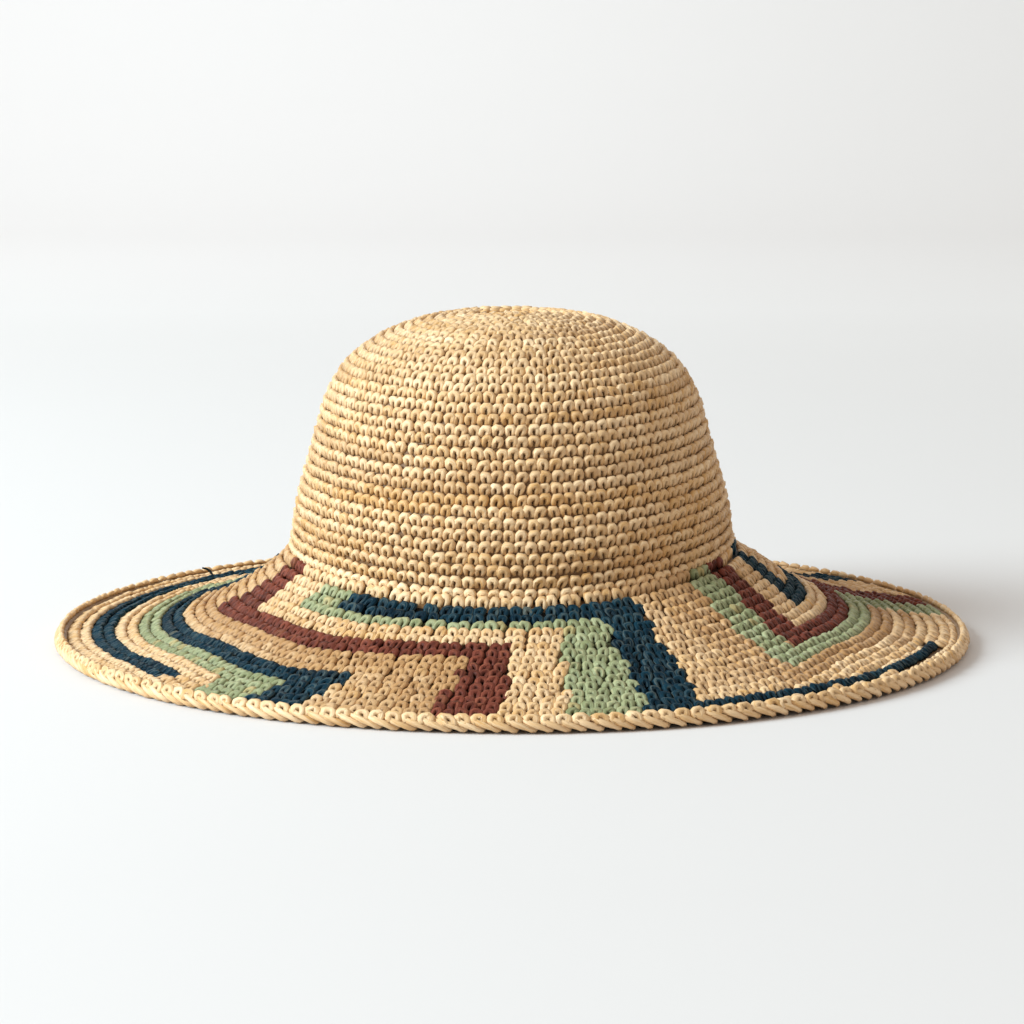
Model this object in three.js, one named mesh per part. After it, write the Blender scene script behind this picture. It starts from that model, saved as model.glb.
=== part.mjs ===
import * as THREE from "three";

// Straw cloche hat worked in rounds: crown top, crown side, flared brim and a cord round the edge.
// Millimetres, Z up, the front of the hat towards -Y, the underside of the edge cord on z = 0.

// Driving sizes
const WALL = 3.6;
const PIECE_GAP = 0.3;
const RIB_DEPTH = 0.9;
const JOIN_RADIUS = 96;
const JOIN_HEIGHT = 39.3;
const CROWN_ROUNDS = 36;
const TOP_ROUNDS = 20;
const CROWN_STEPS = 40;
const TOP_LINING_SPANS = 6;
const SIDE_LINING_SPANS = 4;
const BRIM_ROUNDS = 19;
const BRIM_STEPS = 44;
const UNDERSIDE_STATIONS = 7;
const BRIM_EDGE_RADIUS = 187.3;
const CORD_STEPS = 60;
const CORD_SIDES = 8;
const CORD_HALF = 3.5;
const CORD_RADIUS = BRIM_EDGE_RADIUS + 0.5 + CORD_HALF;

// The worn crown leans a little towards the front
const LEAN = THREE.MathUtils.degToRad(2.6);
const BASE_BLEND = 30;

// Outer shape of the crown from the middle of the top down to the join with the brim
const CROWN_PROFILE = [
  { radius: 0, height: 139.3 },
  { radius: 20, height: 138.6 },
  { radius: 37.1, height: 136.4 },
  { radius: 48.1, height: 133.0 },
  { radius: 56.7, height: 129.2 },
  { radius: 67.1, height: 122.2 },
  { radius: 74.0, height: 115.0 },
  { radius: 80.0, height: 103.8 },
  { radius: 83.0, height: 94.0 },
  { radius: 85.6, height: 84.6 },
  { radius: 88.4, height: 75.2 },
  { radius: 91.3, height: 65.2 },
  { radius: 93.6, height: 54.9 },
  { radius: 94.3, height: 48.0 },
  { radius: JOIN_RADIUS, height: JOIN_HEIGHT },
];

// Heights of the upper side of the brim at four bearings, by distance from the axis
const BRIM_SECTIONS = [
  { out: JOIN_RADIUS, front: 31.5, right: 39.5, back: 43.0, left: 38.5 },
  { out: 103, front: 29.0, right: 35.8, back: 38.0, left: 32.0 },
  { out: 112, front: 26.0, right: 30.2, back: 32.0, left: 25.0 },
  { out: 125, front: 22.0, right: 21.8, back: 24.0, left: 17.5 },
  { out: 142, front: 17.2, right: 15.0, back: 16.0, left: 11.0 },
  { out: 160, front: 12.6, right: 10.2, back: 10.8, left: 7.2 },
  { out: 176, front: 9.0, right: 7.4, back: 8.0, left: 6.2 },
  { out: BRIM_EDGE_RADIUS, front: 6.6, right: 6.5, back: 6.5, left: 6.0 },
];

const brimHeights = new THREE.CubicInterpolant(
  BRIM_SECTIONS.map((row) => row.out),
  BRIM_SECTIONS.flatMap((row) => [row.front, row.right, row.back, row.left]),
  4,
);

// Bearing 0 looks to the front and grows towards the right
function brimTop(out, bearing) {
  const [front, right, back, left] = brimHeights.evaluate(out);
  const ahead = Math.cos(bearing);
  const aside = Math.sin(bearing);
  const along = ahead > 0 ? front : back;
  const across = aside > 0 ? right : left;
  return along * ahead * ahead + across * aside * aside;
}

function brimSlope(out, bearing) {
  const step = 0.5;
  const low = Math.max(out - step, JOIN_RADIUS);
  const high = Math.min(out + step, BRIM_EDGE_RADIUS);
  return (brimTop(high, bearing) - brimTop(low, bearing)) / (high - low);
}

function place(radius, height, bearing) {
  return new THREE.Vector3(radius * Math.sin(bearing), -radius * Math.cos(bearing), height);
}

// Joins rings of points into one closed skin; a ring of a single point is a pole
function skin(rings, steps, closeLoop) {
  const corners = [];
  const starts = rings.map((ring) => {
    const first = corners.length / 3;
    ring.forEach((point) => corners.push(point.x, point.y, point.z));
    return first;
  });
  const at = (ring, step) => starts[ring] + (rings[ring].length === 1 ? 0 : step % steps);
  const faces = [];
  const spans = closeLoop ? rings.length : rings.length - 1;
  for (let ring = 0; ring < spans; ring += 1) {
    const next = (ring + 1) % rings.length;
    for (let step = 0; step < steps; step += 1) {
      const quad = [at(ring, step), at(next, step), at(next, step + 1), at(ring, step + 1)];
      if (quad[1] !== quad[2]) {
        faces.push(quad[0], quad[1], quad[2]);
      }
      if (quad[0] !== quad[3]) {
        faces.push(quad[0], quad[2], quad[3]);
      }
    }
  }
  const geometry = new THREE.BufferGeometry();
  geometry.setAttribute("position", new THREE.Float32BufferAttribute(corners, 3));
  geometry.setIndex(faces);
  geometry.computeVertexNormals();
  return geometry;
}

function ringOf(steps, pointAt) {
  return Array.from({ length: steps }, (_, step) => pointAt((step / steps) * Math.PI * 2));
}

// Crown: ribbed dome outside, smooth hollow inside, both leaning with the head
const crownCurve = new THREE.SplineCurve(
  CROWN_PROFILE.map((row) => new THREE.Vector2(row.radius, row.height)),
);

function crownPoint(share, depth) {
  const point = crownCurve.getPointAt(share);
  const along = crownCurve.getTangentAt(share);
  const inward = new THREE.Vector2(along.y, -along.x).multiplyScalar(depth);
  return point.add(inward);
}

function lean(radius, height, bearing) {
  const behind = -radius * Math.cos(bearing) * Math.tan(LEAN);
  const base = brimTop(JOIN_RADIUS, bearing) - JOIN_HEIGHT;
  const raised = THREE.MathUtils.smoothstep(height - JOIN_HEIGHT, 0, BASE_BLEND);
  return height + THREE.MathUtils.lerp(base, behind, raised);
}

function crownRing(radius, height) {
  return ringOf(CROWN_STEPS, (bearing) => place(radius, lean(radius, height, bearing), bearing));
}

function crownAt(share, depth) {
  const point = crownPoint(share, depth);
  return crownRing(point.x, point.y);
}

function ribs(firstHalf, lastHalf) {
  const rings = [];
  for (let half = firstHalf; half <= lastHalf; half += 1) {
    rings.push(crownAt(half / (CROWN_ROUNDS * 2), half % 2 === 0 ? RIB_DEPTH : 0));
  }
  return rings;
}

function lining(low, high, spans) {
  return Array.from({ length: spans - 1 }, (_, step) => {
    return crownAt(THREE.MathUtils.lerp(low, high, (step + 1) / spans), WALL);
  });
}

// The widening rounds of the top end where the even rounds of the side begin
const SIDE_START = TOP_ROUNDS / CROWN_ROUNDS;
const HALF_GAP = PIECE_GAP / 2 / crownCurve.getLength();

function crownTopGeometry() {
  const end = SIDE_START - HALF_GAP;
  const height = CROWN_PROFILE[0].height;
  const rings = [
    [new THREE.Vector3(0, 0, height)],
    ...ribs(1, TOP_ROUNDS * 2 - 1),
    crownAt(end, RIB_DEPTH),
    crownAt(end, WALL),
    ...lining(end, 0, TOP_LINING_SPANS),
    [new THREE.Vector3(0, 0, height - WALL)],
  ];
  return skin(rings, CROWN_STEPS, false);
}

function crownSideGeometry() {
  const start = SIDE_START + HALF_GAP;
  const foot = JOIN_HEIGHT + PIECE_GAP;
  const rings = [
    crownAt(start, RIB_DEPTH),
    ...ribs(TOP_ROUNDS * 2 + 1, CROWN_ROUNDS * 2 - 1),
    crownRing(JOIN_RADIUS, foot),
    crownRing(JOIN_RADIUS - WALL, foot),
    ...lining(1, start, SIDE_LINING_SPANS),
    crownAt(start, WALL),
  ];
  return skin(rings, CROWN_STEPS, true);
}

// Brim: ribbed upper side, smooth underside one wall below it
function brimGeometry() {
  const rings = [];
  const width = BRIM_EDGE_RADIUS - JOIN_RADIUS;
  for (let half = 0; half <= BRIM_ROUNDS * 2; half += 1) {
    const out = JOIN_RADIUS + (width * half) / (BRIM_ROUNDS * 2);
    const ends = half === 0 || half === BRIM_ROUNDS * 2;
    const depth = half % 2 === 0 && !ends ? RIB_DEPTH : 0;
    rings.push(ringOf(BRIM_STEPS, (bearing) => below(out, depth, bearing)));
  }
  rings.push(ringOf(BRIM_STEPS, (bearing) => {
    return place(BRIM_EDGE_RADIUS, brimTop(BRIM_EDGE_RADIUS, bearing) - WALL, bearing);
  }));
  for (let station = UNDERSIDE_STATIONS; station > 0; station -= 1) {
    const out = JOIN_RADIUS + (width * station) / (UNDERSIDE_STATIONS + 1);
    rings.push(ringOf(BRIM_STEPS, (bearing) => below(out, WALL, bearing)));
  }
  rings.push(ringOf(BRIM_STEPS, (bearing) => {
    return place(JOIN_RADIUS - WALL, brimTop(JOIN_RADIUS, bearing), bearing);
  }));
  return skin(rings, BRIM_STEPS, true);
}

function below(out, depth, bearing) {
  const slope = brimSlope(out, bearing);
  const length = Math.hypot(1, slope);
  const radius = out + (depth * slope) / length;
  return place(radius, brimTop(out, bearing) - depth / length, bearing);
}

// Edge cord: one closed ring of eight-sided section that lies flat on the floor
function cordGeometry() {
  const corner = CORD_HALF / Math.cos(Math.PI / CORD_SIDES);
  const rings = [];
  for (let side = 0; side < CORD_SIDES; side += 1) {
    const turn = ((side + 0.5) / CORD_SIDES) * Math.PI * 2;
    const radius = CORD_RADIUS - corner * Math.cos(turn);
    const height = CORD_HALF + corner * Math.sin(turn);
    rings.push(ringOf(CORD_STEPS, (bearing) => place(radius, height, bearing)));
  }
  return skin(rings, CORD_STEPS, true);
}

const straw = new THREE.MeshStandardMaterial({ color: "#d9b57c", roughness: 0.75, metalness: 0 });

function piece(name, geometry, colour) {
  const material = straw.clone();
  material.color.set(colour);
  const mesh = new THREE.Mesh(geometry, material);
  mesh.name = name;
  return mesh;
}

const group = new THREE.Group();
group.name = "straw_cloche_hat";
group.add(piece("crown_top", crownTopGeometry(), "#d9b57c"));
group.add(piece("crown_side", crownSideGeometry(), "#d9b57c"));
group.add(piece("brim", brimGeometry(), "#b98f5c"));
group.add(piece("edge_cord", cordGeometry(), "#e2c48f"));

export default group;
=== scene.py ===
import math

import bpy
import numpy as np
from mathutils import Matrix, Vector


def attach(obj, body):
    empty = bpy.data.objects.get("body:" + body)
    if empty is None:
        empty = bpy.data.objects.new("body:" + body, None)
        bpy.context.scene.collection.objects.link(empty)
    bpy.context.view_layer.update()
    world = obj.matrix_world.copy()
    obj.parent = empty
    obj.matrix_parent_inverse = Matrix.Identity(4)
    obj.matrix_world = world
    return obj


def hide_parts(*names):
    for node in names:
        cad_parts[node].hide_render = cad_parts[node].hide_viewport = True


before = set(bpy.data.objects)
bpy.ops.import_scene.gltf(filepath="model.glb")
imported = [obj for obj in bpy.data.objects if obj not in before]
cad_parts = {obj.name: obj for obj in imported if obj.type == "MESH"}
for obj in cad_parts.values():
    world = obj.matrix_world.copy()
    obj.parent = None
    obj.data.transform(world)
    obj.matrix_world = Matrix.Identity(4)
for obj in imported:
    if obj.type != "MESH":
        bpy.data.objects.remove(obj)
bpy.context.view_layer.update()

# Straw cloche hat: sizes in millimetres, turned into metres where a mesh is made.
# Bearings are in degrees round the hat: 0 looks to the front, 90 to the hat's right in the picture.
MM = 0.001
rng = np.random.default_rng(7)

# Shapes shared with the solids
WALL = 3.6
JOIN_RADIUS = 96.0
JOIN_HEIGHT = 39.3
LEAN = math.radians(2.6)
BASE_BLEND = 30.0
BRIM_EDGE_RADIUS = 187.3
CORD_RADIUS = 191.3
CORD_HALF = 3.5

# radius, height of the crown from the middle of the top down to the join
CROWN_PROFILE = [
    (0, 139.3),
    (20, 138.6),
    (37.1, 136.4),
    (48.1, 133.0),
    (56.7, 129.2),
    (67.1, 122.2),
    (74.0, 115.0),
    (80.0, 103.8),
    (83.0, 94.0),
    (85.6, 84.6),
    (88.4, 75.2),
    (91.3, 65.2),
    (93.6, 54.9),
    (94.3, 48.0),
    (JOIN_RADIUS, JOIN_HEIGHT),
]

# distance out, then the upper side's height at the front, right, back and left
BRIM_SECTIONS = [
    (JOIN_RADIUS, 31.5, 39.5, 43.0, 38.5),
    (103, 29.0, 35.8, 38.0, 32.0),
    (112, 26.0, 30.2, 32.0, 25.0),
    (125, 22.0, 21.8, 24.0, 17.5),
    (142, 17.2, 15.0, 16.0, 11.0),
    (160, 12.6, 10.2, 10.8, 7.2),
    (176, 9.0, 7.4, 8.0, 6.2),
    (BRIM_EDGE_RADIUS, 6.6, 6.5, 6.5, 6.0),
]

# Rounds of the crown, which end a little above the join, and the widths of the stitches
CROWN_ROUNDS = 35
UPPER_ROUNDS = 20
CROWN_SKIRT = 0.4
STITCH_WIDTH = 4.8
BRIM_STITCH_WIDTH = 4.7
FEWEST_STITCHES = 6

# Rounds of the brim: the sides have extra part rounds, which begin at a bearing past the front
FRONT_ROUNDS = 16.5
SIDE_ROUNDS = 20.5
MEAN_ROUNDS = 19
FRONT_REACH = 30
FRONT_TO_SIDE = 28
FIRST_ROUND = 0.1

# The natural straw of the brim is in two pieces, and the inner one has this many rounds
INNER_ROUNDS = 10

# The columns of stitches drift back a little from round to round
COLUMN_DRIFT = 0.3

# Past the edge, the rows bend down and get shorter under the rope's knobs
EDGE_SLOPE = 0.1
EDGE_DIP = 1.3
EDGE_OVERHANG = 0.7
SHORTEST_STITCH = 0.45

# How finely the outlines are drawn, and how finely their length is measured
POINTS_PER_SPAN = 12
CROWN_STATIONS = 240
BRIM_STATIONS = 160


def smooth_line(points):
    """Passes a smooth line through rows of numbers, as a flexible rule would."""
    rows = np.array(points, float)
    before = np.vstack([rows[:1], rows[:-1]])[:-1]
    after = np.vstack([rows[1:], rows[-1:]])[1:]
    start, stop = rows[:-1], rows[1:]
    way = np.linspace(0, 1, POINTS_PER_SPAN, endpoint=False)[:, None, None]
    leave = (stop - before) / 2
    arrive = (after - start) / 2
    bend = (2 * start - 2 * stop + leave + arrive) * way**3
    turn = (-3 * start + 3 * stop - 2 * leave - arrive) * way**2
    spans = bend + turn + leave * way + start
    line = spans.transpose(1, 0, 2).reshape(-1, rows.shape[1])
    return np.vstack([line, rows[-1:]])


crown_line = smooth_line(CROWN_PROFILE)
crown_run = np.r_[0, np.cumsum(np.hypot(*np.diff(crown_line, axis=0).T))]
brim_line = smooth_line(BRIM_SECTIONS)


def eased(way):
    """Starts and ends softly on the way from 0 to 1."""
    way = np.clip(way, 0, 1)
    return way * way * (3 - 2 * way)


def brim_top(out, bearing):
    """Height of the brim's upper side."""
    ahead = np.cos(np.radians(bearing))
    aside = np.sin(np.radians(bearing))
    outs, *sides = brim_line.T
    front, right, back, left = [np.interp(out, outs, heights) for heights in sides]
    along = np.where(ahead > 0, front, back)
    across = np.where(aside > 0, right, left)
    return along * ahead**2 + across * aside**2


def round_place(radius, height, bearing):
    """Point at a radius and a height, on a bearing."""
    turn = np.radians(bearing)
    return np.stack([radius * np.sin(turn), -radius * np.cos(turn), height], -1)


def crown_place(bearing, run):
    """Point on the crown's outer face at a run down the profile from the middle of the top."""
    radius = np.interp(run, crown_run, crown_line[:, 0])
    height = np.interp(run, crown_run, crown_line[:, 1])
    behind = -radius * np.cos(np.radians(bearing)) * math.tan(LEAN)
    base = brim_top(JOIN_RADIUS, bearing) - JOIN_HEIGHT
    raised = eased((height - JOIN_HEIGHT) / BASE_BLEND)
    return round_place(radius, height + base * (1 - raised) + behind * raised, bearing)


def brim_place(bearing, out):
    """Point on the brim's upper side at a distance out."""
    return round_place(out, brim_top(out, bearing), bearing)


# The worked rounds lie evenly down each face, so its true length is measured at every degree
TURNS = np.arange(-180, 181)
SHARES = np.linspace(0, 1, 201)


def even_ways(place, ways):
    """Ways down a face at even shares of its length, and that length, for every degree."""
    points = place(TURNS[:, None] + 0 * ways[None, :], ways[None, :] + 0 * TURNS[:, None])
    steps = np.linalg.norm(np.diff(points, axis=1), axis=2)
    runs = np.hstack([np.zeros((len(TURNS), 1)), np.cumsum(steps, axis=1)])
    return np.array([np.interp(SHARES, run / run[-1], ways) for run in runs]), runs[:, -1]


def way_at(table, bearing, share):
    """Reads the way down a face between the table's degrees and shares."""
    row = bearing + 180
    column = np.clip(share, 0, 1) * (len(SHARES) - 1)
    turn = np.floor(row).astype(int).clip(0, 359)
    step = np.floor(column).astype(int).clip(0, len(SHARES) - 2)
    past_turn, past_step = row - turn, column - step
    near = table[turn, step] * (1 - past_step) + table[turn, step + 1] * past_step
    far = table[turn + 1, step] * (1 - past_step) + table[turn + 1, step + 1] * past_step
    return near * (1 - past_turn) + far * past_turn


crown_runs, crown_length = even_ways(crown_place, np.linspace(0, crown_run[-1], CROWN_STATIONS))
brim_stations = np.linspace(JOIN_RADIUS, BRIM_EDGE_RADIUS, BRIM_STATIONS)
brim_outs, brim_length = even_ways(brim_place, brim_stations)


def wrapped(bearing):
    """Turns any bearing into one from -180 to 180."""
    return (np.asarray(bearing, float) + 180) % 360 - 180


def crown_face(bearing, share):
    """Point on the crown at a share of the way from the middle of the top to the brim."""
    bearing = wrapped(bearing)
    return crown_place(bearing, way_at(crown_runs, bearing, share))


def brim_face(bearing, share):
    """Point on the brim's upper side at a share of the way from the crown to the edge.

    A share below 0 lies up the crown, and one above 1 lies past the edge.
    """
    bearing = wrapped(bearing)
    out = way_at(brim_outs, bearing, share)
    past = (share - np.clip(share, 0, 1)) * np.interp(bearing, TURNS, brim_length)
    height = brim_top(out, bearing) - past * EDGE_SLOPE
    on_brim = round_place(out + np.maximum(past, 0), height, bearing)
    up_crown = crown_place(bearing, crown_run[-1] + np.minimum(past, 0))
    return np.where((past < 0)[..., None], up_crown, on_brim)


def brim_rounds(bearing):
    """How many rounds lie between crown and edge."""
    past_front = (np.abs(wrapped(bearing)) - FRONT_REACH) / FRONT_TO_SIDE
    return FRONT_ROUNDS + (SIDE_ROUNDS - FRONT_ROUNDS) * eased(past_front)


# How far to each side in degrees, and down the work, a face is felt for its direction:
# for stitches in rounds, and for the walls in shares of the face
CROWN_SIDE_FEEL = 1.0
BRIM_SIDE_FEEL = 0.5
ROUND_FEEL = 0.8
CROWN_WALL_FEEL = 0.001
BRIM_WALL_FEEL = 0.003


def frames_on(face, bearing, way, side_step, ahead, behind):
    """Places on a face with the directions sideways, down the work and out of it."""
    at = face(bearing, way)
    side = face(bearing + side_step, way) - face(bearing - side_step, way)
    down = face(bearing, way + ahead) - face(bearing, way - behind)
    side /= np.linalg.norm(side, axis=1, keepdims=True)
    down -= side * (side * down).sum(1, keepdims=True)
    down /= np.linalg.norm(down, axis=1, keepdims=True)
    return at, side, down, np.cross(down, side)


# Colour chart of the brim: dye, first and last round, then the bearings of the left and right side
# at the first round and at the last round. Where rows overlap, the upper row holds.
LAST = 21
CHART = [
    ("navy", 1, 2, -40, 29.5, -40, 28.5),
    ("navy", 3, LAST, 18.7, 28, 14.5, 20.5),
    ("sage", 1, 2, -50, -40, -50.5, -40),
    ("sage", 3, 3, -51, 18.7, -51, 18.7),
    ("sage", 4, LAST, 9.3, 18.5, 5.4, 14.3),
    ("burgundy", 0, 5, -71.5, -63, -77, -62.5),
    ("burgundy", 6, 7, -79, 0.3, -80, 0),
    ("burgundy", 8, LAST, -7.2, 0, -10.5, -2.2),
    ("navy", 0, 10, -107, -96, -111, -102.5),
    ("navy", 11, 12, -111, -23, -111, -23.3),
    ("navy", 13, LAST, -31, -23.5, -34, -26),
    ("sage", 0, 12, -118, -107, -119.5, -111),
    ("sage", 13, 14, -119.5, -31, -119.5, -31.5),
    ("sage", 15, LAST, -40, -31.8, -40, -34),
    ("navy", 0, 16, -140, -129, -137, -130.5),
    ("navy", 17, 18, -137, -47.5, -137, -49),
    ("sage", 0, 11, 48, 58, 41.3, 49.3),
    ("sage", 12, 13, 41.5, 101.5, 42.5, 101.5),
    ("sage", 14, LAST, 93, 101.5, 94, 101),
    ("burgundy", 0, 9, 58, 66, 50, 59),
    ("burgundy", 10, 11, 49.3, 111, 49.6, 111),
    ("burgundy", 12, LAST, 101.5, 111.2, 101.5, 109),
    ("navy", 0, 5, 76, 86, 70.5, 79.5),
    ("navy", 6, 7, 70, 130, 70.3, 130),
    ("navy", 8, LAST, 121, 130, 121, 128),
    ("navy", 1, 2, 142, 211.5, 142, 210.5),
    ("navy", 3, LAST, 200.7, 210, 197, 203),
    ("sage", 1, 2, 132, 142, 131.5, 142),
    ("sage", 3, 3, 131, 200.7, 131, 200.7),
    ("sage", 4, LAST, 191.5, 200.5, 189, 196.8),
    ("burgundy", 6, 7, 140, 182.3, 140, 182),
    ("burgundy", 8, LAST, 174.8, 182, 172, 179.8),
]

# The single navy line beside the rope: bearing, then how many rounds it lies in from the edge
EDGE_LINE = [(20.5, 0.4), (24.5, 0.55), (40, 0.8), (60, 1.1), (73, 1.3)]
line_bearings, line_depths = zip(*EDGE_LINE)

# The line lies on top of the work and a little narrower, and the stitches under it are left out
LINE_RAISED = 0.3
LINE_PITCH = 0.85
LINE_CLEAR = (-0.62, 0.45)
LINE_TONE = (0.4, 0.14)

# Caramel straw: first and last round, bearings from and to, and how much at either side
CARAMEL = [
    (0, 11, 28, 52, 0.35, 1.0),
    (12, 13, 24, 44, 0.35, 0.9),
    (14, 15, 36, 93, 0.9, 1.0),
    (17, 17, 66, 93, 0.5, 0.9),
    (8, 8, -92, -7, 0.95, 0.9),
    (9, 9, -90, -7, 0.8, 0.85),
    (10, 10, -96, -8, 0.5, 0.85),
    (11, LAST, -25, -8, 0.4, 0.95),
    (0, 7, -98, -72, 0.7, 0.5),
    (8, 10, -102, -92, 0.65, 0.75),
    (4, LAST, 204, 222, 0.8, 0.3),
    (8, LAST, 150, 174, 0.3, 0.8),
    (8, 17, 111, 121, 0.6, 0.6),
]


def within(bearing, left, right):
    """Whether a bearing lies from the left one to the right one, also across the back."""
    return (bearing - left) % 360 <= (right - left) % 360


def dye_of(bearing, number):
    """The dye that the chart gives a stitch."""
    for dye, first, last, left, right, left_end, right_end in CHART:
        if first <= number <= last:
            way = (number - first) / max(last - first, 1)
            edge = left + (left_end - left) * way
            far_edge = right + (right_end - right) * way
            if within(bearing, edge, far_edge):
                return dye
    return "natural"


def caramel_of(bearing, number):
    """How much caramel straw a stitch has."""
    for first, last, left, right, at_left, at_right in CARAMEL:
        if first <= number <= last and within(bearing, left, right):
            way = ((bearing - left) % 360) / ((right - left) % 360)
            return at_left + (at_right - at_left) * way
    return 0.0


def deselect_all():
    if bpy.context.mode != "OBJECT":
        bpy.ops.object.mode_set(mode="OBJECT")
    bpy.ops.object.select_all(action="DESELECT")


def turn_between(before, after):
    """The shorter turn from one heading to the next."""
    return (after - before + math.pi) % (2 * math.pi) - math.pi


def drawn_strand(name, path, girths, sides=6):
    """Draws one strand of straw along a flat path: a round end, extruded and turned bend by bend."""
    points = [Vector((x, y, 0)) for x, y in path]
    ways = [(b - a).normalized() for a, b in zip(points, points[1:])]
    headings = [math.atan2(way.y, way.x) for way in ways]
    facings = [headings[0]]
    for before, after in zip(headings, headings[1:]):
        facings.append(before + turn_between(before, after) / 2)
    facings.append(headings[-1])
    deselect_all()
    bpy.ops.mesh.primitive_circle_add(
        vertices=sides,
        radius=girths[0],
        fill_type="NGON",
        location=points[0],
        rotation=(0, math.pi / 2, facings[0]),
    )
    strand = bpy.context.active_object
    strand.name = name
    bpy.ops.object.mode_set(mode="EDIT")
    bpy.ops.mesh.select_all(action="SELECT")
    for index in range(1, len(points)):
        bpy.ops.mesh.extrude_region_move(
            TRANSFORM_OT_translate={"value": points[index] - points[index - 1]}
        )
        turn = turn_between(facings[index - 1], facings[index])
        bpy.ops.transform.rotate(value=-turn, orient_axis="Z", center_override=points[index])
        swell = girths[index] / girths[index - 1]
        bpy.ops.transform.resize(value=(swell, swell, swell), center_override=points[index])
    bpy.ops.mesh.select_all(action="SELECT")
    bpy.ops.mesh.normals_make_consistent(inside=False)
    bpy.ops.object.mode_set(mode="OBJECT")
    bpy.ops.object.transform_apply(location=True, rotation=True, scale=True)
    mesh = strand.data
    spots = np.array([vertex.co for vertex in mesh.vertices])
    centres = np.array([tuple(point) for point in points])
    nearest = np.linalg.norm(spots[:, None] - centres[None], axis=2).argmin(1)
    across = np.stack([-np.sin(facings), np.cos(facings), np.zeros(len(facings))], -1)[nearest]
    lever = spots - centres[nearest]
    around = np.arctan2(lever[:, 2], (lever * across).sum(1))
    length = np.r_[0, np.cumsum(np.linalg.norm(np.diff(centres, axis=0), axis=1))]
    faces = [tuple(polygon.vertices) for polygon in mesh.polygons]
    bpy.data.objects.remove(strand, do_unlink=True)
    return {"spots": spots, "faces": faces, "around": around, "along": length[nearest]}


# One stitch: up one leg, over the knuckle and down the other leg.
# Sideways in stitch widths, downwards in rounds, and the girth as a share of the width.
EVEN_STITCH = [
    (-0.2, 1.15, 0.18),
    (-0.29, 0.82, 0.25),
    (-0.3, 0.56, 0.29),
    (-0.15, 0.4, 0.32),
    (0.15, 0.4, 0.32),
    (0.3, 0.56, 0.29),
    (0.29, 0.82, 0.25),
    (0.2, 1.15, 0.18),
]
LEANING_STITCH = [
    (-0.23, 1.15, 0.18),
    (-0.3, 0.85, 0.245),
    (-0.29, 0.6, 0.28),
    (-0.13, 0.43, 0.31),
    (0.18, 0.38, 0.33),
    (0.31, 0.53, 0.3),
    (0.28, 0.78, 0.255),
    (0.17, 1.15, 0.18),
]
MIRRORED_STITCH = [(-across, down, girth) for across, down, girth in reversed(LEANING_STITCH)]
STITCH_KINDS = [EVEN_STITCH, LEANING_STITCH, MIRRORED_STITCH]

# How thick the straw is, how far its crest lies below the outline, and how steeply its legs dip
CROWN_THICKNESS = 4.6
CROWN_CREST = 1.5
CROWN_DIP = 1.5
BRIM_THICKNESS = 3.8
BRIM_CREST = 1.15
BRIM_DIP = 1.2
DIP_START = 0.25
STITCH_ARCH = 0.12

# Between its legs a stitch gets a slot of painted shade, and at its sides a crease of painted shade
SLOT_HEIGHT = 0.84
SLOT_REACH = 0.2
SLOT_STRETCH = 0.7
SLOT_EDGE = 1.3
SLOT_SHADE = 0.9
CREASE_START = 0.8
CREASE_WIDTH = 0.4
CREASE_SHADE = 0.25


def drawn_stitches(name, crest, dip_depth):
    """Draws the kinds of stitch of one face: arched from side to side, dipping under the next round."""
    units = []
    for kind in STITCH_KINDS:
        unit = drawn_strand(name, [(x, -y) for x, y, girth in kind], [girth for x, y, girth in kind])
        across = unit["spots"][:, 0]
        unit["down"] = -unit["spots"][:, 1]
        dip = dip_depth * np.maximum(unit["down"] - DIP_START, 0) ** 2
        unit["sink"] = dip + STITCH_ARCH * (2 * across) ** 2 + crest
        # painted shade: dark in the slot between the legs and in the creases where stitches meet
        from_slot = np.hypot(across, (unit["down"] - SLOT_HEIGHT) * SLOT_STRETCH)
        slot_shade = np.clip(SLOT_EDGE - from_slot / SLOT_REACH, 0, 1) * SLOT_SHADE
        crease = np.clip((np.abs(2 * across) - CREASE_START) / CREASE_WIDTH, 0, 1) * CREASE_SHADE
        unit["crease"] = np.maximum(slot_shade, crease)
        units.append(unit)
    return units


crown_stitches = drawn_stitches("crown_stitch", CROWN_CREST, CROWN_DIP)
brim_stitches = drawn_stitches("brim_stitch", BRIM_CREST, BRIM_DIP)


def store_straw(mesh, fibre, straw):
    """Stores what the finish reads: a place along the fibres, and tone, warmth and the depth that sets
    painted shade.
    """
    for title, values in (("fibre", fibre), ("straw", straw)):
        stored = mesh.attributes.new(title, "FLOAT_VECTOR", "POINT")
        stored.data.foreach_set("vector", values.astype(np.float32).ravel())


def piece_from(name, parts, material, node):
    """Joins laid strands into one piece."""
    spots = np.concatenate([part["spots"] for part in parts]) * MM
    faces = []
    start = 0
    for part in parts:
        faces.extend([spot + start for spot in face] for face in part["faces"])
        start += len(part["spots"])
    mesh = bpy.data.meshes.new(name)
    mesh.from_pydata(spots.tolist(), [], faces)
    fibre = np.concatenate([part["fibre"] for part in parts])
    straw = np.concatenate([part["straw"] for part in parts])
    store_straw(mesh, fibre, straw)
    mesh.shade_smooth()
    mesh.materials.append(material)
    piece = bpy.data.objects.new(name, mesh)
    bpy.context.collection.objects.link(piece)
    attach(piece, "root")
    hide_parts(node)


# Fibres: how far they spread round and along a strand, and how far apart the strands read them
FIBRE_REACH = 3.2
FIBRE_RUN = 1.0
FIBRE_OFFSET = 400
FIBRE_SLANT = 0.37
UNEVENNESS = 0.13

# Depth below the face where painted shade starts to darken the straw, and how fast it gets to full shade
SHADE_FROM = 1.1
SHADE_OVER = 2.1


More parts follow.
